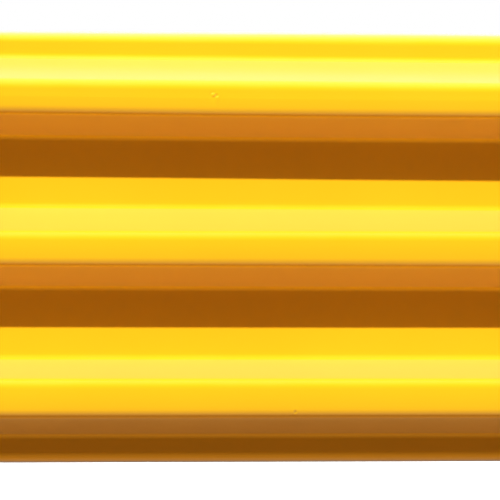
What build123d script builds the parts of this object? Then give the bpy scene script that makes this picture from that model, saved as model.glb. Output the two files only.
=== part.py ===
from build123d import *
import os

# Removable three-rib steel guard rail, one bay: a corrugated rail that drops into
# pocket brackets bolted to two square posts. Millimetres, +Z up.
# Origin: on the floor, midway between the posts. +X runs along the rail, and the
# ribs stand out towards -Y, the side that traffic is on.

INCH = 25.4

# Corrugated rail
RAIL_HEIGHT = 12 * INCH
SHEET = 3.04  # 11 gauge
RIB_PITCH = 105.2
RIB_DEPTH = 41.7  # valley to crest, on the front surface
RIBS = (  # from the bottom: place in pitches, width of the crest, height of each slanting side
    (-1, 24.4, 14.7),
    (0, 22.8, 16.7),
    (1, 23.2, 16.3),
)
CREST_CROWN = 1.2  # how far the crest's middle stands proud of its edges, before rounding
CROWN_RADIUS = 60.0
OUTER_BEND = 8.0
INNER_BEND = OUTER_BEND - SHEET

# Lips, turned back along the rail's top and bottom edges in two bends
EDGE_RETURN = 15.0  # depth of a lip, behind the valleys
EDGE_DROP = 5.0  # from the edge in to the corner of the first bend
EDGE_BEND = 6.3
KNEE_DEPTH = 6.7  # the second bend's corner, behind the valleys and in from the edge
KNEE_DROP = 1.2
KNEE_BEND = 20.0

# Layout
POST_SPACING = 48 * INCH
POST_SIZE = 4 * INCH
RAIL_BOTTOM = 4.5 * INCH
BRACKET_GAP = 20.0  # post face to the rail's end plate: bracket wall, washer, bolt head, play
SIDES = {"left": -1, "right": 1}

# Post, base plate and cap
POST_WALL = 4.76
POST_CORNER = 2 * POST_WALL
BASE_SIZE = 10 * INCH
BASE_THICKNESS = 0.5 * INCH
BASE_CORNER = 9.5
BASE_EDGE = 1.0  # chamfer round the top
ANCHOR_SPACING = 8 * INCH
ANCHOR_HOLE = 22.2
WELD_LEG = 6.0
WELD_LAND = 0.5  # flat left at a weld's toe, so that it has no knife edge
POST_TOP = 450.0
CAP_EDGE = 3.2
CAP_RISE = 4.0
CAP_TOP_FLAT = 30.0
CAP_TOP_CORNER = 4.0
CAP_HOLLOW_CORNER = 1.0
CAP_SKIRT_DEPTH = 20.0
CAP_SKIRT_WALL = 2.5
CAP_FIN_COUNT = 3
CAP_FIN_HEIGHT = 1.2
CAP_FIN_REACH = 0.9  # how far a fin stands out of the skirt
CAP_FIT = 0.1  # clearance between the fins and the tube, each side
CAP_ROUND = 1.2  # round at the cap's outer edges

# Pocket bracket
PLATE = 0.25 * INCH
PLATE_ROUND = 0.8  # round along a plate's cut edges
BRACKET_DEPTH = 50.0  # along X
BRACKET_BOTTOM = RAIL_BOTTOM - PLATE - 3.0
BRACKET_HEIGHT = 263.0
BRACKET_PLAY = 2.0  # each side of the rail's end plate
BRACKET_BEND = 3.2  # inside radius
BRACKET_LEAD_IN = 14.0  # corner cut at the mouth of the pocket
SHELF_GAP = 3.5  # between the shelf and the bracket's back wall

# Rail end plate and its weld
END_PLATE_MARGIN = 1.25  # plate beyond the ribs, front and back
RAIL_WELD = 3.0
PLATE_CORNER = 1.5

# Bolts, 1/2 inch
BOLT_DIAMETER = 0.5 * INCH
BRACKET_HOLE = 14.3
POST_HOLE = 13.5
BOLT_LENGTH = 1.25 * INCH
HEAD_FLATS = 0.75 * INCH
HEAD_HEIGHT = 7.9
HEAD_CHAMFER = 1.2
WASHER_DIAMETER = 27.0
WASHER_HOLE = 13.1
WASHER_THICKNESS = 2.4
NUT_HEIGHT = 11.1
NUT_CLEARANCE = 0.05
BOLT_SPACING_Y = 1.125 * INCH
BOLT_SPACING_Z = 8 * INCH
FIRST_BOLT = RAIL_BOTTOM + INCH

# Places worked out from the above
POST_X = POST_SPACING / 2
POST_FACE_X = POST_X - POST_SIZE / 2
END_PLATE_X = POST_FACE_X - BRACKET_GAP  # outer face of the rail's end plate
RAIL_HALF = END_PLATE_X - PLATE
RAIL_CENTRE_Z = RAIL_BOTTOM + RAIL_HEIGHT / 2
RAIL_DEPTH = RIB_DEPTH + EDGE_RETURN
CREST_Y = -RAIL_DEPTH / 2
VALLEY_Y = CREST_Y + RIB_DEPTH
END_PLATE_WIDTH = RAIL_DEPTH + 2 * END_PLATE_MARGIN
POCKET_WIDTH = END_PLATE_WIDTH + 2 * BRACKET_PLAY
BRACKET_WIDTH = POCKET_WIDTH + 2 * PLATE
POST_INSIDE = POST_SIZE - 2 * POST_WALL
BOLT_PATTERN = [
    (y, FIRST_BOLT + row * BOLT_SPACING_Z)
    for row in (0, 1)
    for y in (-BOLT_SPACING_Y / 2, BOLT_SPACING_Y / 2)
]


def along_x(sketch, start, end):
    """A sketch drawn as (Y, Z) pairs, extruded from X = start to X = end."""
    plane = Plane(origin=(start, 0, 0), x_dir=(0, 1, 0), z_dir=(1, 0, 0))
    return extrude(plane * sketch, amount=end - start)


def rail_front_corners():
    """The corners and bend radii of the rail's front surface, from its lower lip up.

    The corners are (Y, Z) points about the rail's middle."""
    half = RAIL_HEIGHT / 2
    lip = [
        (VALLEY_Y, half - EDGE_DROP),
        (VALLEY_Y + KNEE_DEPTH, half - KNEE_DROP),
        (VALLEY_Y + EDGE_RETURN, half),
    ]
    corners = [(y, -z) for y, z in reversed(lip)]
    radii = [KNEE_BEND, EDGE_BEND]
    for number, crest_width, side_height in RIBS:
        middle = number * RIB_PITCH
        foot = crest_width / 2 + side_height
        corners += [
            (VALLEY_Y, middle - foot),
            (CREST_Y + CREST_CROWN, middle - crest_width / 2),
            (CREST_Y, middle),
            (CREST_Y + CREST_CROWN, middle + crest_width / 2),
            (VALLEY_Y, middle + foot),
        ]
        radii += [INNER_BEND, OUTER_BEND, CROWN_RADIUS, OUTER_BEND, INNER_BEND]
    corners += lip
    radii += [EDGE_BEND, KNEE_BEND]
    return corners, radii


def rail_line(distance):
    """The line that runs behind the rail's front surface, distance away, bent round the same centres."""
    corners, radii = rail_front_corners()
    points = [Vector(*corner) for corner in corners]
    ways = [(end - start).normalized() for start, end in zip(points, points[1:])]
    backs = [Vector(way.Y, -way.X) for way in ways]
    moved = [points[0] + backs[0] * distance]
    for point, arrive, leave, back, next_back in zip(points[1:], ways, ways[1:], backs, backs[1:]):
        moved.append(point + (back + next_back) * distance / (1 + arrive.dot(leave)))
    moved.append(points[-1] + backs[-1] * distance)
    turns = [arrive.cross(leave).Z for arrive, leave in zip(ways, ways[1:])]
    grown = [radius + (distance if turn > 0 else -distance) for radius, turn in zip(radii, turns)]
    return FilletPolyline(*moved, radius=grown)


def behind(near, far):
    """The face between two lines behind the rail's front surface, at the distances near and far."""
    lines = [rail_line(near), rail_line(far)]
    ends = [Line(lines[0] @ 0, lines[1] @ 0), Line(lines[0] @ 1, lines[1] @ 1)]
    return make_face([edge for line in (*lines, *ends) for edge in line.edges()])


def corrugated_rail():
    profile = Pos(0, RAIL_CENTRE_Z) * behind(0, SHEET)
    return along_x(profile, -RAIL_HALF, RAIL_HALF)


def rail_weld(side):
    """The weld that joins the back of the corrugated sheet to its end plate."""
    profile = Pos(0, RAIL_CENTRE_Z) * behind(SHEET, SHEET + RAIL_WELD)
    return along_x(profile, side * RAIL_HALF, side * (RAIL_HALF - RAIL_WELD))


def rail_end_plate(side):
    outline = Pos(0, RAIL_CENTRE_Z) * RectangleRounded(END_PLATE_WIDTH, RAIL_HEIGHT, PLATE_CORNER)
    plate = along_x(outline, side * RAIL_HALF, side * END_PLATE_X)
    edges = plate.edges().group_by(Axis.X)
    return fillet(edges[0] + edges[-1], PLATE_ROUND)


def post(side):
    """A square tube with the same four bolt holes through each of its faces."""
    tube = Pos(side * POST_X, 0, BASE_THICKNESS) * extrude(
        RectangleRounded(POST_SIZE, POST_SIZE, POST_CORNER)
        - RectangleRounded(POST_INSIDE, POST_INSIDE, POST_CORNER - POST_WALL),
        amount=POST_TOP - BASE_THICKNESS,
    )
    drill = Cylinder(POST_HOLE / 2, POST_SIZE + 2)
    for offset, z in BOLT_PATTERN:
        tube -= Pos(side * POST_X, offset, z) * Rot(Y=90) * drill
        tube -= Pos(side * POST_X + offset, 0, z) * Rot(X=90) * drill
    return tube


def base_plate(side):
    plate = extrude(RectangleRounded(BASE_SIZE, BASE_SIZE, BASE_CORNER), amount=BASE_THICKNESS)
    plate = chamfer(plate.faces().sort_by(Axis.Z)[-1].edges(), BASE_EDGE)
    for place in GridLocations(ANCHOR_SPACING, ANCHOR_SPACING, 2, 2):
        plate -= place * Cylinder(ANCHOR_HOLE / 2, 3 * BASE_THICKNESS)
    return Pos(side * POST_X, 0, 0) * plate


def base_weld(side):
    """The fillet weld round the foot of the post."""
    foot = POST_SIZE + 2 * (WELD_LEG + WELD_LAND)
    bead = extrude(
        RectangleRounded(foot, foot, POST_CORNER + WELD_LEG + WELD_LAND), amount=WELD_LEG, taper=45
    )
    bead -= extrude(RectangleRounded(POST_SIZE, POST_SIZE, POST_CORNER), amount=WELD_LEG)
    return Pos(side * POST_X, 0, BASE_THICKNESS) * bead


def post_cap(side):
    """A plastic cap: a low pyramid over the tube, and a finned skirt inside it."""
    brim = extrude(RectangleRounded(POST_SIZE, POST_SIZE, POST_CORNER), amount=CAP_EDGE)
    roof = loft([
        Pos(0, 0, CAP_EDGE) * RectangleRounded(POST_SIZE, POST_SIZE, POST_CORNER),
        Pos(0, 0, CAP_EDGE + CAP_RISE) * RectangleRounded(CAP_TOP_FLAT, CAP_TOP_FLAT, CAP_TOP_CORNER),
    ])
    top = brim + roof
    eaves = top.edges().group_by(Axis.Z)[2]
    top = fillet(eaves, CAP_ROUND)
    fin_size = POST_INSIDE - 2 * CAP_FIT
    fin_corner = POST_CORNER - POST_WALL - CAP_FIT
    skirt_size = fin_size - 2 * CAP_FIN_REACH
    skirt = Pos(0, 0, -CAP_SKIRT_DEPTH) * extrude(
        RectangleRounded(skirt_size, skirt_size, fin_corner - CAP_FIN_REACH), amount=CAP_SKIRT_DEPTH
    )
    for fin in range(CAP_FIN_COUNT):
        height = (fin + 0.5) * CAP_SKIRT_DEPTH / CAP_FIN_COUNT
        skirt += Pos(0, 0, -CAP_SKIRT_DEPTH + height) * extrude(
            RectangleRounded(fin_size, fin_size, fin_corner), amount=CAP_FIN_HEIGHT
        )
    hollow_size = skirt_size - 2 * CAP_SKIRT_WALL
    hollow = Pos(0, 0, -CAP_SKIRT_DEPTH) * extrude(
        RectangleRounded(hollow_size, hollow_size, CAP_HOLLOW_CORNER), amount=CAP_SKIRT_DEPTH
    )
    return Pos(side * POST_X, 0, POST_TOP) * (top + skirt - hollow)


def pocket_bracket(side):
    """A plate folded to a U that stands on end, bolted to the post, open towards the rail."""
    middle_x = POST_FACE_X - BRACKET_DEPTH / 2
    outside = Rectangle(BRACKET_DEPTH, BRACKET_WIDTH)
    outside = fillet(outside.vertices().group_by(Axis.X)[-1], BRACKET_BEND + PLATE)
    inside = Pos(-PLATE, 0) * Rectangle(BRACKET_DEPTH, POCKET_WIDTH)
    inside = fillet(inside.vertices().group_by(Axis.X)[-1], BRACKET_BEND)
    body = Pos(middle_x, 0, BRACKET_BOTTOM) * extrude(outside - inside, amount=BRACKET_HEIGHT)
    mouth_x = POST_FACE_X - BRACKET_DEPTH
    for z in (BRACKET_BOTTOM, BRACKET_BOTTOM + BRACKET_HEIGHT):
        body -= Pos(mouth_x, 0, z) * Rot(Y=45) * Box(
            BRACKET_LEAD_IN * 2**0.5, BRACKET_WIDTH + 2, BRACKET_LEAD_IN * 2**0.5
        )
    ends = body.faces().filter_by(lambda face: abs(face.normal_at().Z) > 0.5)
    mouth = body.faces().group_by(Axis.X)[0]
    body = fillet((ends + mouth).edges(), PLATE_ROUND)
    for y, z in BOLT_PATTERN:
        body -= Pos(POST_FACE_X, y, z) * Rot(Y=90) * Cylinder(BRACKET_HOLE / 2, 3 * PLATE)
    return body if side > 0 else mirror(body, about=Plane.YZ)


def pocket_shelf(side):
    """The plate across the foot of the pocket, which the rail's end plate stands on."""
    start = POST_FACE_X - PLATE - SHELF_GAP
    end = POST_FACE_X - BRACKET_DEPTH + BRACKET_LEAD_IN - PLATE
    shelf = Pos((start + end) / 2, 0, RAIL_BOTTOM - PLATE / 2) * Box(start - end, POCKET_WIDTH, PLATE)
    shelf = fillet(shelf.edges().filter_by(Axis.Y), PLATE_ROUND)
    return shelf if side > 0 else mirror(shelf, about=Plane.YZ)


def at_each_bolt(piece, side, x):
    """The same piece at each of a bracket's bolt places, its own +Z turned towards the post."""
    turn = Rot(Y=90) if side > 0 else Rot(Y=-90)
    return Compound([Pos(side * x, y, z) * turn * piece for y, z in BOLT_PATTERN])


def hex_bolt():
    """A hexagon bolt with the underside of its head at the origin and its shank along +Z."""
    head = Pos(0, 0, -HEAD_HEIGHT) * extrude(
        RegularPolygon(HEAD_FLATS / 2, 6, major_radius=False), amount=HEAD_HEIGHT
    )
    corner_radius = HEAD_FLATS / 3**0.5
    dome = Pos(0, 0, -HEAD_HEIGHT / 2) * Cylinder(corner_radius, HEAD_HEIGHT)
    dome = chamfer(dome.edges().group_by(Axis.Z)[0], HEAD_CHAMFER)
    shank = Pos(0, 0, BOLT_LENGTH / 2) * Cylinder(BOLT_DIAMETER / 2, BOLT_LENGTH)
    shank = chamfer(shank.edges().group_by(Axis.Z)[-1], HEAD_CHAMFER)
    return (head & dome) + shank


def washer():
    ring = Cylinder(WASHER_DIAMETER / 2, WASHER_THICKNESS) - Cylinder(WASHER_HOLE / 2, 2 * WASHER_THICKNESS)
    return Pos(0, 0, -WASHER_THICKNESS / 2) * ring


def weld_nut():
    nut = extrude(RegularPolygon(HEAD_FLATS / 2, 6, major_radius=False), amount=NUT_HEIGHT)
    return nut - Cylinder(BOLT_DIAMETER / 2 + NUT_CLEARANCE, 3 * NUT_HEIGHT)


def post_nuts(side):
    """The nuts welded inside the post, behind the bolt holes of all four faces."""
    nuts = []
    for quarter in range(4):
        for offset, z in BOLT_PATTERN:
            place = Rot(Z=90 * quarter) * Pos(POST_INSIDE / 2 - NUT_HEIGHT, offset, z) * Rot(Y=90)
            nuts.append(Pos(side * POST_X, 0, 0) * place * weld_nut())
    return Compound(nuts)


def bracket_bolts(side):
    return at_each_bolt(hex_bolt(), side, POST_FACE_X - PLATE - WASHER_THICKNESS)


def bracket_washers(side):
    return at_each_bolt(washer(), side, POST_FACE_X - PLATE)


parts = {"corrugated_rail": corrugated_rail()}
for name, side in SIDES.items():
    parts[f"rail_end_plate_{name}"] = rail_end_plate(side)
    parts[f"rail_weld_{name}"] = rail_weld(side)
    parts[f"post_{name}"] = post(side)
    parts[f"base_plate_{name}"] = base_plate(side)
    parts[f"base_weld_{name}"] = base_weld(side)
    parts[f"post_cap_{name}"] = post_cap(side)
    parts[f"post_nuts_{name}"] = post_nuts(side)
    parts[f"pocket_bracket_{name}"] = pocket_bracket(side)
    parts[f"pocket_shelf_{name}"] = pocket_shelf(side)
    parts[f"bracket_bolts_{name}"] = bracket_bolts(side)
    parts[f"bracket_washers_{name}"] = bracket_washers(side)

os.makedirs("parts", exist_ok=True)
for name, shape in parts.items():
    export_step(shape, f"parts/{name}.step")
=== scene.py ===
import math

import bmesh
import bpy
from mathutils import Matrix, Vector, noise


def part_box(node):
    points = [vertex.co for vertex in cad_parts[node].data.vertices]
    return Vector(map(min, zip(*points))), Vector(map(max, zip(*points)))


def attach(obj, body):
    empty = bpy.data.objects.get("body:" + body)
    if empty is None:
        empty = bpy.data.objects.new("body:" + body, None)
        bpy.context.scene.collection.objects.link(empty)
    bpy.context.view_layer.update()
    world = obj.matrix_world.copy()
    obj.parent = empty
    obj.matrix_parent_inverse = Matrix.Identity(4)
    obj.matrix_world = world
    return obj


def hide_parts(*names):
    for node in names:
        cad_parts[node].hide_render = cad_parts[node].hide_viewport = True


# Looks for the lift-out guard rail bay. Metres, +Z up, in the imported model's frame: +X along
# the rail, and the ribs stand out towards -Y.

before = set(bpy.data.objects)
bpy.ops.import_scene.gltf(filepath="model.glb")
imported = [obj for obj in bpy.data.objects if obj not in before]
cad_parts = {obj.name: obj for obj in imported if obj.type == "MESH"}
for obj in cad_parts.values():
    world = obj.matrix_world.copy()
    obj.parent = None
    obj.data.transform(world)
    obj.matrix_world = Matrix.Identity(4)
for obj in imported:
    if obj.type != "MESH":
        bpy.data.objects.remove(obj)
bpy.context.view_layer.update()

# ---------------------------------------------------------------- places, read from the frame

RAIL_LOW, RAIL_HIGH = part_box("corrugated_rail")
RAIL_CENTRE_Z = (RAIL_LOW.z + RAIL_HIGH.z) / 2
RAIL_HALF_HEIGHT = (RAIL_HIGH.z - RAIL_LOW.z) / 2
RAIL_HALF_LENGTH = RAIL_HIGH.x
POST_LOW, POST_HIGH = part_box("post_right")
POST_X = (POST_LOW.x + POST_HIGH.x) / 2
POST_HALF = (POST_HIGH.x - POST_LOW.x) / 2
SHELF_LOW, SHELF_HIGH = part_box("pocket_shelf_right")
WASHERS_LOW, WASHERS_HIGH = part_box("bracket_washers_right")
BOLTS_LOW, BOLTS_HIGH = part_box("bracket_bolts_right")
SIDES = {"left": -1, "right": 1}

# The corrugated sheet's section
SHEET = 0.00304
RIB_PITCH = 0.1052
RIB_DEPTH = 0.0417
RIBS = (  # from the bottom: place in pitches, width of the crest, height of each slanting side
    (-1, 0.0244, 0.0147),
    (0, 0.0228, 0.0167),
    (1, 0.0232, 0.0163),
)
CREST_CROWN = 0.0012
CROWN_RADIUS = 0.060
OUTER_BEND = 0.008
INNER_BEND = OUTER_BEND - SHEET
EDGE_RETURN = 0.015
EDGE_DROP = 0.0050
EDGE_BEND = 0.0063
KNEE_DEPTH = 0.0067
KNEE_DROP = 0.0012
KNEE_BEND = 0.020
CUT_EDGE_ROUND = 0.0007
VALLEY_Y = (RIB_DEPTH - EDGE_RETURN) / 2
CREST_Y = VALLEY_Y - RIB_DEPTH

# Small marks in the sheet's front: place along X, height about the middle, radius, depth (less
# than nothing for a raised speck under the coat), and how far the coat is broken
KNOCKS = (
    (-0.0348, RIB_PITCH + 0.0026, 0.0019, -0.00038, 0.0),
    (-0.0322, RIB_PITCH + 0.0022, 0.0017, 0.00032, 0.0),
    (0.0272, -RIB_PITCH - 0.0090, 0.0017, 0.00022, 0.35),
)
KNOCK_STEP = 0.0004

# Where use has bowed the sheet a little: place along X, height about the middle, reach along
# X, reach in height, push along Y, lift along Z
BOWS = (
    (-0.26, RIB_PITCH - 0.011, 0.36, 0.030, -0.0004, 0.0011),
    (0.26, RIB_PITCH - 0.011, 0.36, 0.030, -0.0009, 0.0007),
    (-0.26, RAIL_HALF_HEIGHT, 0.36, 0.012, 0.0, -0.0009),
    (0.26, RAIL_HALF_HEIGHT, 0.36, 0.012, 0.0, 0.0007),
    (-0.26, 0.0114, 0.36, 0.016, 0.0, -0.0005),
    (0.26, 0.0114, 0.36, 0.016, 0.0, 0.0003),
    (0.0, 0.0118 - RIB_PITCH, 1.60, 0.013, 0.0, 0.0008),
)
WAVE_HEIGHT = 0.00018
END_FADE = 0.12  # over which the sheet becomes true again towards its end plates

# Post, welds and fasteners
POST_CORNER = 0.00952
FOOT_WELD_LEG = 0.0060
RAIL_WELD_LEG = 0.0030
SHELF_WELD_LEG = 0.0028
SHELF_WELD_START = 0.005  # in from the shelf's front edge, where the bracket's wall begins
WELD_BURY = 0.0003
COARSE_RIPPLE = 0.0036  # from one ripple of a foot's bead to the next
FINE_RIPPLE = 0.0024
COARSE_WELD_STEP = 0.0009
FINE_WELD_STEP = 0.0006
WASHER_RADIUS = 0.0135
WASHER_HOLE_RADIUS = 0.00655
WASHER_ROUND = 0.0004
WASHER_SEGMENTS = 96
BOLT_RADIUS = 0.00635
THREAD_PITCH = 0.0254 / 13
THREAD_DEPTH = 0.0007
THREAD_STEPS = 8  # rings to a turn
THREAD_POINT = 0.0012  # the length over which the shank's end narrows
THREAD_SEGMENTS = 36
HEAD_HALF_FLATS = 0.009525
HEAD_HEIGHT = 0.0079
HEAD_CHAMFER_START = 0.0091
HEAD_CHAMFER_SLOPE = 0.55
GRADE_MARK_HEIGHT = 0.00022
GRADE_MARK_HALF_WIDTH = 0.00042
HEAD_RINGS = (0.1, 0.25, 0.4, 0.44, 0.46, 0.55, 0.65, 0.75, 0.84, 0.86, 0.9, 0.93, 0.96, 0.98, 0.995)
HEAD_SEGMENTS = 144


# ---------------------------------------------------------------- meshes

def mesh_object(name, shells, material, body, sharp_angle=32):
    """One object from closed shells, each a pair of points and faces, riding on a body."""
    mesh = bpy.data.meshes.new(name)
    points, faces = [], []
    for shell_points, shell_faces in shells:
        first = len(points)
        points += [tuple(p) for p in shell_points]
        faces += [[first + i for i in face] for face in shell_faces]
    mesh.from_pydata(points, [], faces)
    work = bmesh.new()
    work.from_mesh(mesh)
    bmesh.ops.recalc_face_normals(work, faces=work.faces)
    work.to_mesh(mesh)
    work.free()
    mesh.polygons.foreach_set("use_smooth", [True] * len(mesh.polygons))
    mesh.set_sharp_from_angle(angle=math.radians(sharp_angle))
    mesh.materials.append(material)
    made = bpy.data.objects.new(name, mesh)
    bpy.context.scene.collection.objects.link(made)
    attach(made, body)
    return made


def grid_faces(rows, columns, round_rows=False):
    """The quads of a grid of points held row by row, each row a closed ring."""
    faces = []
    for r in range(rows if round_rows else rows - 1):
        above = (r + 1) % rows
        for c in range(columns):
            d = (c + 1) % columns
            faces.append((r * columns + c, r * columns + d, above * columns + d, above * columns + c))
    return faces


def mirrored(shell, side):
    """A shell made for the right-hand side, as it is or mirrored to the left."""
    points, faces = shell
    return [(side * x, y, z) for x, y, z in points], faces


def turned(shell, side):
    """A shell made for the right-hand side, as it is or turned half round to the left."""
    points, faces = shell
    return [(side * x, side * y, z) for x, y, z in points], faces


def smooth_bump(u):
    """1 in the middle, and smoothly down to 0 at u = 1 and beyond."""
    return (1 - u * u) ** 2 if u < 1 else 0.0


def rounded_line(corners, radii, straight_step, turn_step):
    """Points and left-hand normals along a polyline whose inner corners are turned into arcs.

    Straight runs are divided to at most straight_step, and arcs to at most turn_step radians."""
    line = []

    def add(point, normal):
        if not line or (line[-1][0] - point).length > 1e-7:
            line.append((point, normal))

    corners = [Vector(c) for c in corners]
    start = corners[0]
    for i in range(1, len(corners)):
        arrive = (corners[i] - corners[i - 1]).normalized()
        last = i == len(corners) - 1
        if last:
            end = corners[i]
        else:
            leave = (corners[i + 1] - corners[i]).normalized()
            turn = math.atan2(arrive.cross(leave), arrive.dot(leave))
            setback = radii[i - 1] * math.tan(abs(turn) / 2)
            end = corners[i] - arrive * setback
        normal = Vector((-arrive.y, arrive.x))
        pieces = max(1, math.ceil((end - start).length / straight_step))
        for k in range(pieces + 1):
            add(start.lerp(end, k / pieces), normal)
        if not last:
            centre = end + normal * math.copysign(radii[i - 1], turn)
            pieces = max(1, math.ceil(abs(turn) / turn_step))
            for k in range(1, pieces + 1):
                spin = Matrix.Rotation(turn * k / pieces, 2)
                add(centre + spin @ (end - centre), spin @ normal)
            start = corners[i] + leave * setback
    return line


def evenly(line, step):
    """The same line of points and normals, divided anew into equal steps of about a length."""
    lengths = [0.0]
    for (a, _), (b, _) in zip(line, line[1:]):
        lengths.append(lengths[-1] + (b - a).length)
    count = max(2, round(lengths[-1] / step))
    spaced, k = [], 0
    for i in range(count + 1):
        along = lengths[-1] * i / count
        while k < len(lengths) - 2 and lengths[k + 1] < along:
            k += 1
        share = (along - lengths[k]) / (lengths[k + 1] - lengths[k])
        point = line[k][0].lerp(line[k + 1][0], share)
        spaced.append((point, line[k][1].lerp(line[k + 1][1], share).normalized()))
    return spaced


# ---------------------------------------------------------------- the corrugated sheet

def rail_section(straight_step=0.004):
    """The front line of the sheet's section, from its bottom edge up, as (Y, Z) about the middle."""
    lip = [
        (VALLEY_Y, RAIL_HALF_HEIGHT - EDGE_DROP),
        (VALLEY_Y + KNEE_DEPTH, RAIL_HALF_HEIGHT - KNEE_DROP),
        (VALLEY_Y + EDGE_RETURN, RAIL_HALF_HEIGHT),
    ]
    corners = [(y, -z) for y, z in reversed(lip)]
    radii = [KNEE_BEND, EDGE_BEND]
    for number, crest_width, side_height in RIBS:
        middle = number * RIB_PITCH
        foot = crest_width / 2 + side_height
        corners += [
            (VALLEY_Y, middle - foot),
            (CREST_Y + CREST_CROWN, middle - crest_width / 2),
            (CREST_Y, middle),
            (CREST_Y + CREST_CROWN, middle + crest_width / 2),
            (VALLEY_Y, middle + foot),
        ]
        radii += [INNER_BEND, OUTER_BEND, CROWN_RADIUS, OUTER_BEND, INNER_BEND]
    corners += lip
    radii += [EDGE_BEND, KNEE_BEND]
    return rounded_line(corners, radii, straight_step, math.radians(7))


def finer_near_knocks(line):
    """The section's line with more points at the heights of the knocks."""
    finer = [line[0]]
    for (a, normal_a), (b, normal_b) in zip(line, line[1:]):
        near = any(abs((a.y + b.y) / 2 - height) < 2 * radius for _, height, radius, _, _ in KNOCKS)
        pieces = math.ceil((b - a).length / KNOCK_STEP) if near else 1
        for k in range(1, pieces + 1):
            finer.append((a.lerp(b, k / pieces), normal_a.lerp(normal_b, k / pieces).normalized()))
    return finer


def cut_edge(tip, along, back):
    """The rounded cut edge of the sheet, from its front to its back, at the end of the section."""
    points = []
    for start, turn_from in ((CUT_EDGE_ROUND, 0), (SHEET - CUT_EDGE_ROUND, 1)):
        centre = tip - along * CUT_EDGE_ROUND + back * start
        for k in range(5):
            angle = (turn_from + k / 4) * math.pi / 2
            points.append(centre + (along * math.sin(angle) - back * math.cos(angle)) * CUT_EDGE_ROUND)
    return points


def sheet_shift(x, height):
    """How far the bows and waves of the real sheet move a point, along Y and along Z."""
    push = WAVE_HEIGHT * noise.noise(Vector((3 * x, 8 * height, 1.7)))
    lift = 0.0
    for place, middle, reach_x, reach_z, bow_push, bow_lift in BOWS:
        share = smooth_bump(math.hypot((x - place) / reach_x, (height - middle) / reach_z))
        push += bow_push * share
        lift += bow_lift * share
    fade = min(1.0, (RAIL_HALF_LENGTH - abs(x)) / END_FADE)
    fade = fade * fade * (3 - 2 * fade)
    return push * fade, lift * fade


def knock_depth(x, height):
    """The depth of the knocks at a place: a dent with a low raised rim."""
    depth = 0.0
    for place, middle, radius, deepest, _ in KNOCKS:
        away = math.hypot(x - place, height - middle) / radius
        depth += deepest * (smooth_bump(away) - 0.25 * smooth_bump(abs(away - 1.1) / 0.6))
    return depth


def rail_sheet(material):
    """The corrugated sheet: its section carried along X, with its bows, waves and marks."""
    section = finer_near_knocks(rail_section())
    front = section[1:-1]
    backs = [(p - n * SHEET) for p, n in front]
    tips = []
    for (tip, normal), way in ((section[-1], 1), (section[0], -1)):
        along = Vector((normal.y, -normal.x)) * way
        tips.append(cut_edge(tip, along, -normal))
    loop = list(front)
    loop += [(p, None) for p in tips[0]]
    loop += [(p, None) for p in reversed(backs)]
    loop += [(p, None) for p in reversed(tips[1])]
    stations = {round(RAIL_HALF_LENGTH * (-1 + k / 40), 6) for k in range(81)}
    for place, _, radius, _, _ in KNOCKS:
        steps = math.ceil(2 * radius / KNOCK_STEP)
        stations |= {round(place + k * KNOCK_STEP, 6) for k in range(-steps, steps + 1)}
    stations = sorted(stations)
    points = []
    for x in stations:
        for place, normal in loop:
            push, lift = sheet_shift(x, place.y)
            y, z = place.x + push, place.y + lift
            if normal is not None:
                depth = knock_depth(x, place.y)
                y, z = y - normal.x * depth, z - normal.y * depth
            points.append((x, y, RAIL_CENTRE_Z + z))
    size, rows = len(loop), len(stations)
    faces = grid_faces(rows, size)
    # Each end is closed by quads from the front line to the back line, and a cap at each cut edge.
    count, cut = len(front), len(tips[0])
    for first in (0, (rows - 1) * size):
        for k in range(count - 1):
            across = count + cut + (count - 1 - k)
            faces.append([first + i for i in (k, k + 1, across - 1, across)])
        upper = list(range(count - 1, count + cut + 1))
        lower = list(range(2 * count + cut - 1, 2 * count + 2 * cut)) + [0]
        faces.append([first + i for i in upper])
        faces.append([first + i for i in lower])
    made = mesh_object("rail_sheet", [(points, faces)], material, "rail")
    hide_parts("corrugated_rail")


# ---------------------------------------------------------------- weld beads

def bead(path, leg, ripple_pitch, closed, seed):
    """A fillet weld along a path of (point, first leg's direction, second leg's direction).

    Its face is a little convex and rippled, its toes dip under both surfaces, and an open
    bead tapers at its ends."""
    step = (path[1][0] - path[0][0]).length
    across = 9
    points = []
    for i, (point, first, second) in enumerate(path):
        along = i * step
        size = leg * (1 + 0.05 * noise.noise(Vector((along * 90, seed, 0.5))))
        if not closed:
            to_end = min(i, len(path) - 1 - i) * step
            size *= 0.55 + 0.45 * min(1.0, to_end / leg) ** 0.5
        wander = 0.6 * noise.noise(Vector((along * 160, seed, 9.5)))
        for k in range(across):
            t = k / (across - 1)
            angle = math.radians(-3 + 96 * t)
            crown = 1 - (2 * t - 1) ** 2
            phase = along / ripple_pitch + wander - 0.55 * crown
            ripple = 0.055 * crown**0.5 * (abs(math.cos(math.pi * phase)) - 0.6)
            straight = 1 / (math.cos(math.radians(90 * t)) + math.sin(math.radians(90 * t)))
            reach = size * (0.65 * straight + 0.35 + ripple)
            points.append(point + first * (reach * math.cos(angle)) + second * (reach * math.sin(angle)))
        points.append(point - (first + second) * WELD_BURY)
    columns = across + 1
    faces = grid_faces(len(path), columns, round_rows=closed)
    if not closed:
        faces.append(list(range(columns)))
        faces.append([(len(path) - 1) * columns + c for c in range(columns)])
    return points, faces


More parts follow.
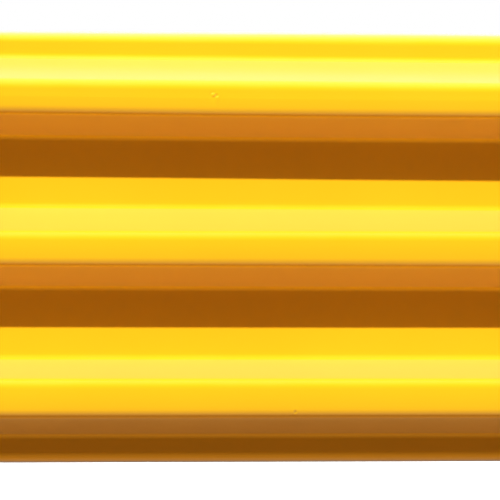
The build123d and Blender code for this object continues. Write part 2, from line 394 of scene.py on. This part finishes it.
def foot_welds(material):
    """The bead round the foot of each post."""
    half = POST_HALF
    corners = [(half, 0), (half, half), (-half, half), (-half, -half), (half, -half), (half, 0)]
    line = rounded_line(corners, [POST_CORNER] * 4, 0.002, math.radians(6))
    ring = evenly(line, COARSE_WELD_STEP)[:-1]
    up = Vector((0, 0, 1))
    path = [(Vector((p.x + POST_X, p.y, POST_LOW.z)), Vector((-n.x, -n.y, 0)), up) for p, n in ring]
    for number, (name, side) in enumerate(SIDES.items()):
        shell = mirrored(bead(path, FOOT_WELD_LEG, COARSE_RIPPLE, True, number), side)
        made = mesh_object(f"foot_weld_{name}", [shell], material, "posts", 60)
        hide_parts(f"base_weld_{name}")


def rail_welds(material):
    """The bead that joins the back of the sheet to each end plate."""
    behind = [(p - n * SHEET, n) for p, n in rail_section(0.002)]
    inward = Vector((-1, 0, 0))
    path = [
        (Vector((RAIL_HALF_LENGTH, p.x, RAIL_CENTRE_Z + p.y)), Vector((0, -n.x, -n.y)), inward)
        for p, n in evenly(behind, FINE_WELD_STEP)
    ]
    for number, (name, side) in enumerate(SIDES.items()):
        shell = mirrored(bead(path, RAIL_WELD_LEG, FINE_RIPPLE, False, 5 + number), side)
        made = mesh_object(f"end_weld_{name}", [shell], material, "rail", 60)
        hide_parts(f"rail_weld_{name}")


def shelf_welds(material):
    """The beads under each end of a pocket's shelf."""
    start, end = SHELF_LOW.x + SHELF_WELD_START, SHELF_HIGH.x
    count = round((end - start) / FINE_WELD_STEP)
    down = Vector((0, 0, -1))
    for number, (name, side) in enumerate(SIDES.items()):
        shells = []
        for wall, y in ((-1, SHELF_LOW.y), (1, SHELF_HIGH.y)):
            path = [
                (Vector((start + (end - start) * k / count, y, SHELF_LOW.z)), Vector((0, -wall, 0)), down)
                for k in range(count + 1)
            ]
            shell = bead(path, SHELF_WELD_LEG, FINE_RIPPLE, False, 11 + 2 * number + wall)
            shells.append(mirrored(shell, side))
        mesh_object(f"shelf_welds_{name}", shells, material, "posts", 60)


# ---------------------------------------------------------------- bolts and washers

def turned_shell(rings, x, y, z, turn, around):
    """A closed shell about a line along +X through (x, y, z).

    Each ring is a function from the angle to (how far along, radius). The first and the last
    ring are closed with a point at their middle."""
    points, faces = [], grid_faces(len(rings), around)
    for ring in rings:
        for k in range(around):
            angle = 2 * math.pi * k / around
            along, radius = ring(angle)
            spun = angle + turn
            points.append((x + along, y + radius * math.cos(spun), z + radius * math.sin(spun)))
    for first in (0, (len(rings) - 1) * around):
        middle = sum((Vector(p) for p in points[first:first + around]), Vector()) / around
        points.append(tuple(middle))
        hub = len(points) - 1
        faces += [(first + k, first + (k + 1) % around, hub) for k in range(around)]
    return points, faces


def hex_radius(angle):
    """The distance from the middle to the side of the bolt's head, its corners just eased."""
    off = (angle + math.pi / 6) % (math.pi / 3) - math.pi / 6
    return min(HEAD_HALF_FLATS / math.cos(off), HEAD_HALF_FLATS * 1.146)


def head_top_ring(share):
    """A ring of the head's top, share of the way out to its side, with three raised radial marks."""
    def ring(angle):
        radius = hex_radius(angle) * share
        fall = max(0.0, radius - HEAD_CHAMFER_START) * HEAD_CHAMFER_SLOPE
        off_mark = abs((angle + math.pi / 3) % (2 * math.pi / 3) - math.pi / 3) * radius
        marked = 0.45 < share < 0.85 and off_mark < GRADE_MARK_HALF_WIDTH
        return -HEAD_HEIGHT + fall - (GRADE_MARK_HEIGHT if marked else 0), radius
    return ring


def hex_ring(along, share):
    """A ring of the head's side."""
    return lambda angle: (along, hex_radius(angle) * share)


def round_ring(along, radius):
    """A plain round ring."""
    return lambda angle: (along, radius)


def thread_ring(along, length):
    """A ring of the shank's helical thread, narrowing over the last turn."""
    def ring(angle):
        phase = (along / THREAD_PITCH - angle / (2 * math.pi)) % 1.0
        cut = 1 - abs(2 * phase - 1)
        depth = THREAD_DEPTH * min(1.0, max(0.0, 1.3 * cut - 0.15))
        return along, BOLT_RADIUS - depth - max(0.0, along - (length - THREAD_POINT))
    return ring


def bolt_shells(x, y, z, turn):
    """A bolt whose head's underside is at x, pointing along +X: its head and its threaded shank."""
    face_radius = 0.96 * HEAD_HALF_FLATS
    rings = [head_top_ring(share) for share in HEAD_RINGS]
    rings += [hex_ring(-HEAD_HEIGHT + 0.0010, 1.0), hex_ring(-0.0008, 1.0), hex_ring(-0.0005, 0.985)]
    rings += [round_ring(-0.0004, face_radius), round_ring(0.0, face_radius), round_ring(0.0, BOLT_RADIUS)]
    head = turned_shell(rings, x, y, z, turn, HEAD_SEGMENTS)
    length = BOLTS_HIGH.x - x
    steps = round(length / THREAD_PITCH * THREAD_STEPS)
    rings = [round_ring(-0.0003, BOLT_RADIUS)]
    rings += [thread_ring(length * k / steps, length) for k in range(steps + 1)]
    return [head, turned_shell(rings, x, y, z, turn, THREAD_SEGMENTS)]


def washer_shell(x, y, z):
    """A pressed washer from x on, rounded at its first rim and sharp at its second."""
    thick = WASHERS_HIGH.x - WASHERS_LOW.x
    r = WASHER_ROUND
    section = [(0, WASHER_HOLE_RADIUS + 0.3 * r), (0.3 * r, WASHER_HOLE_RADIUS), (thick, WASHER_HOLE_RADIUS)]
    section += [(thick, WASHER_RADIUS - 0.2 * r), (thick - 0.2 * r, WASHER_RADIUS)]
    for k in range(5):
        angle = math.pi / 2 * k / 4
        section.append((r - r * math.sin(angle), WASHER_RADIUS - r + r * math.cos(angle)))
    points = []
    for k in range(WASHER_SEGMENTS):
        angle = 2 * math.pi * k / WASHER_SEGMENTS
        for along, radius in section:
            points.append((x + along, y + radius * math.cos(angle), z + radius * math.sin(angle)))
    return points, grid_faces(WASHER_SEGMENTS, len(section), round_rows=True)


def fasteners(material):
    """The four bolts and washers of each bracket, each bolt stopped at its own angle."""
    rows = (WASHERS_LOW.z + WASHER_RADIUS, WASHERS_HIGH.z - WASHER_RADIUS)
    columns = (WASHERS_LOW.y + WASHER_RADIUS, WASHERS_HIGH.y - WASHER_RADIUS)
    for name, side in SIDES.items():
        bolts, washers = [], []
        for number, (y, z) in enumerate((y, z) for z in rows for y in columns):
            turn = math.radians(23 * number + 11 * side)
            bolts += [turned(shell, side) for shell in bolt_shells(WASHERS_LOW.x, y, z, turn)]
            washers.append(turned(washer_shell(WASHERS_LOW.x, y, z), side))
        made = mesh_object(f"hex_bolts_{name}", bolts, material, "posts", 28)
        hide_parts(f"bracket_bolts_{name}")
        made = mesh_object(f"flat_washers_{name}", washers, material, "posts", 28)
        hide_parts(f"bracket_washers_{name}")


# ---------------------------------------------------------------- materials

class Finish:
    """A material, its shader, and short ways to add nodes in front of the shader."""

    def __init__(self, name, **values):
        self.material = bpy.data.materials.new(name)
        self.material.use_nodes = True
        self.tree = self.material.node_tree
        self.shader = self.tree.nodes["Principled BSDF"]
        for socket, value in values.items():
            self.shader.inputs[socket.replace("_", " ")].default_value = value
        self.place = self.add("ShaderNodeTexCoord").outputs["Object"]

    def add(self, kind, settings=(), **inputs):
        """A new node. Inputs are named with _ for a space, and hold a value or a socket to link."""
        node = self.tree.nodes.new(kind)
        for key, value in dict(settings).items():
            setattr(node, key, value)
        for key, value in inputs.items():
            self.set(node.inputs[key.replace("_", " ")], value)
        return node

    def set(self, socket, value):
        if isinstance(value, bpy.types.NodeSocket):
            self.tree.links.new(value, socket)
        else:
            socket.default_value = value

    def drive(self, socket, value):
        self.set(self.shader.inputs[socket], value)

    def noise(self, scale, detail=2.0, stretch=None):
        """Noise from 0 to 1, scale to the metre, squeezed along X, Y and Z by stretch."""
        place = self.place
        if stretch:
            place = self.add("ShaderNodeMapping", Vector=place, Scale=stretch).outputs["Vector"]
        return self.add("ShaderNodeTexNoise", Vector=place, Scale=scale, Detail=detail).outputs["Fac"]

    def spread(self, value, low, high, to_low=0.0, to_high=1.0):
        """The range from low to high of a value, stretched smoothly to another."""
        made = self.add("ShaderNodeMapRange", {"interpolation_type": "SMOOTHSTEP"}, Value=value)
        for key, number in zip(("From Min", "From Max", "To Min", "To Max"), (low, high, to_low, to_high)):
            made.inputs[key].default_value = number
        return made.outputs["Result"]

    def times(self, first, second):
        made = self.add("ShaderNodeMath", {"operation": "MULTIPLY"})
        self.set(made.inputs[0], first)
        self.set(made.inputs[1], second)
        return made.outputs["Value"]

    def colour(self, share, first, second):
        """A blend of two colours, each a tuple or a socket."""
        made = self.add("ShaderNodeMix", {"data_type": "RGBA"})
        self.set(made.inputs["Factor"], share)
        for socket, value in ((made.inputs[6], first), (made.inputs[7], second)):
            self.set(socket, (*value, 1) if isinstance(value, tuple) else value)
        return made.outputs[2]

    def number(self, share, first, second):
        """A blend of two numbers, each a value or a socket."""
        made = self.add("ShaderNodeMix")
        self.set(made.inputs[0], share)
        self.set(made.inputs[2], first)
        self.set(made.inputs[3], second)
        return made.outputs[0]

    def bump(self, height, distance, under=None):
        made = self.add("ShaderNodeBump", Height=height, Distance=distance)
        if under is not None:
            self.set(made.inputs["Normal"], under)
        return made.outputs["Normal"]

    def height_share(self, low, high):
        """From 1 at the height low to 0 at the height high."""
        z = self.add("ShaderNodeSeparateXYZ", Vector=self.place).outputs["Z"]
        return self.spread(z, low, high, 1.0, 0.0)

    def facing_up(self):
        normal = self.add("ShaderNodeNewGeometry").outputs["Normal"]
        z = self.add("ShaderNodeSeparateXYZ", Vector=normal).outputs["Z"]
        return self.spread(z, 0.55, 0.95)

    def edges(self, radius):
        """From 0 on open surfaces to 1 along edges and corners."""
        bevel = self.add("ShaderNodeBevel", {"samples": 6}, Radius=radius).outputs["Normal"]
        flat = self.add("ShaderNodeNewGeometry").outputs["Normal"]
        dot = self.add("ShaderNodeVectorMath", {"operation": "DOT_PRODUCT"})
        self.set(dot.inputs[0], bevel)
        self.set(dot.inputs[1], flat)
        return self.spread(dot.outputs["Value"], 0.92, 0.995, 1.0, 0.0)


YELLOW = (0.93, 0.498, 0.0012)
YELLOW_PALE = (0.95, 0.514, 0.0018)
PRIMER = (0.32, 0.30, 0.27)
BARE_STEEL = (0.42, 0.41, 0.40)
# Dust colour, also used as painted shade to dim the over-lit upward faces and base plates
DUST_AND_SHADE = (0.34, 0.28, 0.20)
RUBBER = (0.06, 0.055, 0.05)
CHIP = (0.16, 0.075, 0.02)


def powder_coat(name, chalk):
    """Gloss yellow powder coat: a slight orange peel, faint clouding and a chalky sheen."""
    finish = Finish(name, Sheen_Weight=chalk, Sheen_Roughness=0.43, Sheen_Tint=(0.78, 0.90, 1.0, 1.0))
    clouds = finish.spread(finish.noise(6, 3), 0.35, 0.65)
    peel = finish.noise(620, 1.0)
    swell = finish.noise(70, 1.0)
    finish.tone = finish.colour(clouds, YELLOW, YELLOW_PALE)
    finish.gloss = finish.spread(finish.noise(28, 4), 0.3, 0.7, 0.19, 0.25)
    finish.relief = finish.bump(swell, 0.000012, finish.bump(peel, 0.000005))
    return finish


def sheet_coat():
    """The rail's coat, with the paint broken at its small knocks."""
    finish = powder_coat("yellow_powder_coat", 1.0)
    tone = finish.tone
    for x, height, radius, _, broken in KNOCKS:
        if not broken:
            continue
        away = finish.add("ShaderNodeVectorMath", {"operation": "DISTANCE"})
        finish.set(away.inputs[0], finish.place)
        away.inputs[1].default_value = (x, CREST_Y + 0.5 * CREST_CROWN, RAIL_CENTRE_Z + height)
        ragged = finish.number(0.25, away.outputs["Value"], finish.times(finish.noise(900, 2), 2 * radius))
        tone = finish.colour(finish.spread(ragged, 0.45 * radius, 0.95 * radius, broken, 0.0), tone, CHIP)
    finish.drive("Base Color", tone)
    finish.drive("Roughness", finish.gloss)
    finish.drive("Normal", finish.relief)
    return finish.material


def worn_coat():
    """The coat of posts, plates and brackets, with chipped edges, dust on ledges that is also painted shade
    dimming their over-lit tops, floor splash that is also painted shade on the base plates, and scuffs
    and tread marks near the floor."""
    finish = powder_coat("yellow_powder_coat_worn", 0.3)
    chips = finish.times(finish.edges(0.0028), finish.spread(finish.noise(150, 4), 0.46, 0.54))
    bare = finish.times(chips, finish.spread(finish.noise(420, 3), 0.48, 0.56))
    scuffs = finish.spread(finish.noise(26, 5, (0.5, 0.5, 5.0)), 0.60, 0.70)
    scuffs = finish.times(finish.times(scuffs, finish.height_share(0.02, 0.30)), 0.5)
    # Dust on upward faces, partly real dust and partly painted shade that darkens the tops the key light
    # over-lights
    ledge = finish.facing_up()
    dust = finish.times(ledge, finish.spread(finish.noise(48, 8), 0.34, 0.68, 0.10, 0.50))
    treads = finish.spread(finish.noise(11, 6, (1.0, 7.0, 1.0)), 0.57, 0.66, 0.0, 0.45)
    treads = finish.times(finish.times(treads, ledge), finish.height_share(0.02, 0.04))
    # Splash near the floor, partly real dirt and partly painted shade that dims the over-lit base plates
    splash_and_shade = finish.spread(finish.noise(60, 6), 0.42, 0.70, 0.0, 0.45)
    splash_and_shade = finish.times(splash_and_shade, finish.height_share(0.010, 0.085))
    tone = finish.colour(scuffs, finish.tone, RUBBER)
    tone = finish.colour(treads, tone, RUBBER)
    tone = finish.colour(splash_and_shade, tone, DUST_AND_SHADE)
    tone = finish.colour(dust, tone, DUST_AND_SHADE)
    tone = finish.colour(chips, tone, PRIMER)
    tone = finish.colour(bare, tone, BARE_STEEL)
    gloss = finish.number(scuffs, finish.gloss, 0.42)
    gloss = finish.number(splash_and_shade, gloss, 0.60)
    gloss = finish.number(dust, gloss, 0.62)
    gloss = finish.number(chips, gloss, 0.50)
    finish.drive("Base Color", tone)
    finish.drive("Roughness", gloss)
    finish.drive("Metallic", finish.times(bare, 0.9))
    finish.drive("Normal", finish.bump(finish.spread(chips, 0.0, 1.0, 1.0, 0.0), 0.00012, finish.relief))
    return finish.material


def zinc():
    """Bright zinc plate: metal with a faint blue and straw clouding and fine tool marks."""
    finish = Finish("zinc_plate", Metallic=1.0)
    clouds = finish.spread(finish.noise(170, 4), 0.35, 0.65)
    straw = finish.spread(finish.noise(95, 3), 0.50, 0.72, 0.0, 0.55)
    tone = finish.colour(clouds, (0.60, 0.63, 0.67), (0.74, 0.75, 0.76))
    tone = finish.colour(straw, tone, (0.72, 0.66, 0.52))
    grime = finish.spread(finish.noise(240, 5), 0.58, 0.74, 0.0, 0.5)
    tone = finish.colour(grime, tone, (0.26, 0.24, 0.21))
    gloss = finish.spread(finish.noise(300, 3), 0.3, 0.7, 0.22, 0.38)
    marks = finish.noise(900, 2, (0.15, 1.0, 1.0))
    finish.drive("Base Color", tone)
    finish.drive("Roughness", finish.number(grime, gloss, 0.55))
    finish.drive("Normal", finish.bump(marks, 0.000012, finish.bump(finish.noise(500, 3), 0.000010)))
    return finish.material


def nut_steel():
    """Plain hot-forged nuts: dark scale with browner patches, over a coarse skin."""
    finish = Finish("coated_nut_steel", Metallic=0.85)
    patches = finish.spread(finish.noise(130, 5), 0.42, 0.62)
    finish.drive("Base Color", finish.colour(patches, (0.20, 0.195, 0.19), (0.27, 0.19, 0.13)))
    finish.drive("Roughness", finish.spread(finish.noise(260, 3), 0.3, 0.7, 0.42, 0.62))
    finish.drive("Normal", finish.bump(finish.noise(650, 4), 0.00003))
    return finish.material


def cap_plastic():
    """Black moulded polyethylene: a fine grain, rubbed brighter at its edges, dusty on top."""
    finish = Finish("cap_plastic", IOR=1.5)
    rubbed = finish.times(finish.edges(0.0018), finish.spread(finish.noise(110, 4), 0.42, 0.62))
    dust = finish.times(finish.facing_up(), finish.spread(finish.noise(45, 6), 0.35, 0.75, 0.02, 0.30))
    scratches = finish.spread(finish.noise(60, 4, (0.4, 6.0, 1.0)), 0.66, 0.72, 0.0, 0.5)
    shade = finish.spread(finish.noise(18, 3), 0.3, 0.7)
    tone = finish.colour(shade, (0.016, 0.016, 0.017), (0.024, 0.024, 0.025))
    tone = finish.colour(finish.times(rubbed, 0.5), tone, (0.07, 0.07, 0.07))
    tone = finish.colour(finish.times(scratches, finish.facing_up()), tone, (0.06, 0.06, 0.06))
    tone = finish.colour(dust, tone, (0.30, 0.27, 0.23))
    gloss = finish.number(dust, finish.spread(finish.noise(90, 4), 0.3, 0.7, 0.38, 0.50), 0.75)
    finish.drive("Base Color", tone)
    finish.drive("Roughness", finish.number(rubbed, gloss, 0.34))
    finish.drive("Normal", finish.bump(finish.noise(1500, 2), 0.00002))
    return finish.material


smooth_yellow = sheet_coat()
worn_yellow = worn_coat()
zinc_plate = zinc()

rail_sheet(smooth_yellow)
rail_welds(worn_yellow)
foot_welds(worn_yellow)
shelf_welds(worn_yellow)
fasteners(zinc_plate)

OTHER_FINISHES = {"post_cap": cap_plastic(), "post_nuts": nut_steel()}
for name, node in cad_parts.items():
    kind = name.rsplit("_", 1)[0]
    for material_slot in node.material_slots:
        material_slot.material = OTHER_FINISHES.get(kind, worn_yellow)

# ---------------------------------------------------------------- stage, light and camera

FLOOR_REACH = 400.0
floor_finish = Finish("pale_floor", Roughness=0.6)
floor_clouds = floor_finish.spread(floor_finish.noise(3, 5), 0.3, 0.7)
floor_finish.drive("Base Color", floor_finish.colour(floor_clouds, (0.84, 0.84, 0.84), (0.86, 0.86, 0.86)))
bpy.ops.mesh.primitive_plane_add(size=FLOOR_REACH)
floor = bpy.context.object
floor.name = "floor"
floor.data.materials.append(floor_finish.material)
floor.visible_diffuse = False
floor.visible_glossy = False

KEY_RISE = 49.3  # above the horizon, seen along the rail
KEY_TURN = -22.0
KEY_STRENGTH = 5.2
KEY_WIDTH = 1.2
key = bpy.data.lights.new("key", "SUN")
key.energy = KEY_STRENGTH
key.angle = math.radians(KEY_WIDTH)
key_object = bpy.data.objects.new("key", key)
bpy.context.scene.collection.objects.link(key_object)
turn = math.radians(KEY_TURN)
towards = Vector((math.sin(turn), -math.cos(turn), math.tan(math.radians(KEY_RISE)) * math.cos(turn)))
key_object.rotation_euler = towards.to_track_quat("Z", "Y").to_euler()

world = bpy.data.worlds.new("studio")
bpy.context.scene.world = world
world.use_nodes = True
nodes, links = world.node_tree.nodes, world.node_tree.links
nodes.clear()
where = nodes.new("ShaderNodeTexCoord")


def sky_share(direction, low, high):
    """From 0 to 1 as the cosine between a ray and direction goes from low to high."""
    facing = nodes.new("ShaderNodeVectorMath")
    facing.operation = "DOT_PRODUCT"
    facing.inputs[1].default_value = Vector(direction).normalized()
    links.new(where.outputs["Generated"], facing.inputs[0])
    ramp = nodes.new("ShaderNodeMapRange")
    ramp.interpolation_type = "SMOOTHSTEP"
    ramp.inputs["From Min"].default_value = low
    ramp.inputs["From Max"].default_value = high
    links.new(facing.outputs["Value"], ramp.inputs["Value"])
    return ramp.outputs["Result"]


def blended(share, start, end):
    """A blend of two colours, each a tuple or a socket, by a share from 0 to 1."""
    mix = nodes.new("ShaderNodeMix")
    mix.data_type = "RGBA"
    links.new(share, mix.inputs["Factor"])
    for socket, value in ((mix.inputs[6], start), (mix.inputs[7], end)):
        if isinstance(value, tuple):
            socket.default_value = (*value, 1)
        else:
            links.new(value, socket)
    return mix.outputs[2]


FRONT = (0.045, 0.05, 0.06)
BACKDROP = (1.0, 1.0, 1.0)
BACK_GLOW = (2.4, 2.4, 2.4)
FLOOR_BOUNCE = (1.02, 0.56, 0.12)
sky = blended(sky_share((0, 0.64, 0.77), -0.1, 0.75), FRONT, BACKDROP)
sky = blended(sky_share((0.24, 0.92, 0.30), 0.90, 0.98), sky, BACK_GLOW)
sky = blended(sky_share((0, 0, -1), 0.3, 0.95), sky, FLOOR_BOUNCE)
path = nodes.new("ShaderNodeLightPath")
seen = blended(path.outputs["Is Camera Ray"], sky, BACKDROP)
back = nodes.new("ShaderNodeBackground")
links.new(seen, back.inputs["Color"])
out = nodes.new("ShaderNodeOutputWorld")
links.new(back.outputs[0], out.inputs[0])

CAMERA_LENS = 559.6
CAMERA_DISTANCE = 5.48
CAMERA_DROP = 0.0012  # of its aim, below the rail's middle
CAMERA_YAW = -14.31
CAMERA_RISE = 1.35
CAMERA_ROLL = 0.573
camera = bpy.data.cameras.new("camera")
camera.lens = CAMERA_LENS
camera.sensor_width = 36
camera.clip_end = 300
camera_object = bpy.data.objects.new("camera", camera)
bpy.context.scene.collection.objects.link(camera_object)
bpy.context.scene.camera = camera_object
yaw, rise, roll = math.radians(CAMERA_YAW), math.radians(CAMERA_RISE), math.radians(CAMERA_ROLL)
back_way = Vector((math.sin(yaw) * math.cos(rise), -math.cos(yaw) * math.cos(rise), math.sin(rise)))
camera_object.location = Vector((0, 0, RAIL_CENTRE_Z - CAMERA_DROP)) + back_way * CAMERA_DISTANCE
camera_object.rotation_mode = "QUATERNION"
level = (-back_way).to_track_quat("-Z", "Y")
camera_object.rotation_quaternion = level @ Matrix.Rotation(roll, 3, "Z").to_quaternion()

bpy.context.scene.view_settings.view_transform = "Standard"
